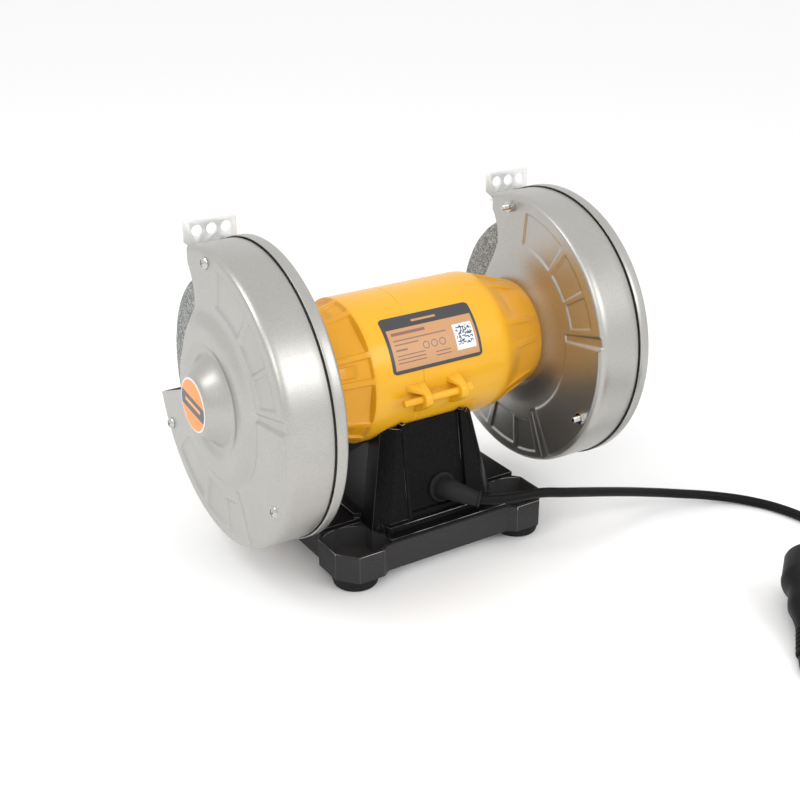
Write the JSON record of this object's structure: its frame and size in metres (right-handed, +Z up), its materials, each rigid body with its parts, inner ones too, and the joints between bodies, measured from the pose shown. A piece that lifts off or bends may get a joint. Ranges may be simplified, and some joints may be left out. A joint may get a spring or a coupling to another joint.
{
  "type": "bench grinder",
  "caption": "Bench grinder: a cradled yellow motor turns a grinding wheel at each end inside a pressed drum guard, on a black column base with rubber feet, a rear mains lead, coil and plug.",
  "frame": {"origin": "on the bench, at the middle of the four bench holes", "axes": "+X along the shaft, -Y towards the operator and the switch, +Z up"},
  "size_m": [0.3846, 0.4129, 0.2211],
  "materials": {
    "base_black": "gloss black powder coat on a casting",
    "motor_yellow": "glossy yellow-orange paint on moulded shells",
    "bolt_yellow": "hexagon bolt and nut painted with the motor",
    "guard_silver": "silver-grey metallic paint on pressed sheet",
    "zinc_steel": "zinc-plated pressed steel",
    "bright_screw": "bright zinc-plated screws and nuts",
    "shaft_steel": "ground steel",
    "core_steel": "stacked electrical steel",
    "bearing_steel": "polished bearing steel",
    "aluminium_can": "plain aluminium",
    "copper_wire": "varnished copper wire",
    "wheel_grit": "grey vitrified abrasive grit",
    "blotter_paper": "plain card washer",
    "foot_rubber": "black moulded rubber",
    "boot_rubber": "black moulded rubber strain relief",
    "cord_black": "black lead jacket with a soft sheen",
    "plug_black": "black moulded plug",
    "plug_brass": "nickel-plated pins",
    "switch_black": "black moulded switch frame and clamp",
    "rocker_black": "black moulded rocker",
    "terminal_white": "white moulded terminal block",
    "badge_orange": "printed round sticker with a plain band",
    "label_print": "printed label with blank panels"
  },
  "bodies": {
    "frame": {"base": "base_black", "bottom_plate": "zinc_steel", "bottom_screws": "zinc_steel", "foot_rear_near": "foot_rubber", "foot_rear_far": "foot_rubber", "foot_front_near": "foot_rubber", "foot_front_far": "foot_rubber", "motor_shell_near": "motor_yellow", "motor_shell_far": "motor_yellow", "motor_screws": "zinc_steel", "clamp_bolts": "bolt_yellow", "stator_core": "core_steel", "winding_near": "copper_wire", "winding_far": "copper_wire", "bearing_outer_near": "bearing_steel", "bearing_outer_far": "bearing_steel", "guard_drum_near": "guard_silver", "guard_cover_near": "guard_silver", "guard_drum_far": "guard_silver", "guard_cover_far": "guard_silver", "shield_bracket_near": "zinc_steel", "shield_bracket_far": "zinc_steel", "guard_screws_near": "bright_screw", "guard_screws_far": "bright_screw", "guard_nuts_near": "bright_screw", "guard_nuts_far": "bright_screw", "guard_mount_screws": "bright_screw", "hub_badge_near": "badge_orange", "hub_badge_far": "badge_orange", "rating_label": "label_print", "switch_housing": "switch_black", "capacitor": "aluminium_can", "capacitor_bracket": "zinc_steel", "terminal_block": "terminal_white", "cable_clamp": "switch_black", "cable_clamp_screws": "bright_screw", "cord_boot": "boot_rubber", "power_cord": "cord_black", "cord_coil": "cord_black", "cord_tail": "cord_black", "plug_body": "plug_black", "plug_pins": "plug_brass", "plug_earth_clips": "bright_screw"},
    "rotor": {"shaft": "shaft_steel", "rotor_core": "core_steel", "rotor_cage": "aluminium_can", "bearing_inner_near": "bearing_steel", "bearing_inner_far": "bearing_steel", "flange_inner_near": "zinc_steel", "flange_inner_far": "zinc_steel", "flange_outer_near": "zinc_steel", "flange_outer_far": "zinc_steel", "blotters": "blotter_paper", "wheel_near": "wheel_grit", "wheel_far": "wheel_grit", "nut_near": "bright_screw", "nut_far": "bright_screw"},
    "rocker": {"switch_rocker": "rocker_black"}
  },
  "joints": [
    {"name": "shaft_spin", "type": "hinge", "parent": "frame", "child": "rotor", "pos_m": [0, 0, 0.121], "axis": [1, 0, 0], "continuous": true},
    {"name": "switch_rocker_tilt", "type": "hinge", "parent": "frame", "child": "rocker", "pos_m": [0, -0.0548, 0.056], "axis": [-1, 0, 0], "range_deg": [0, 18]}
  ]
}
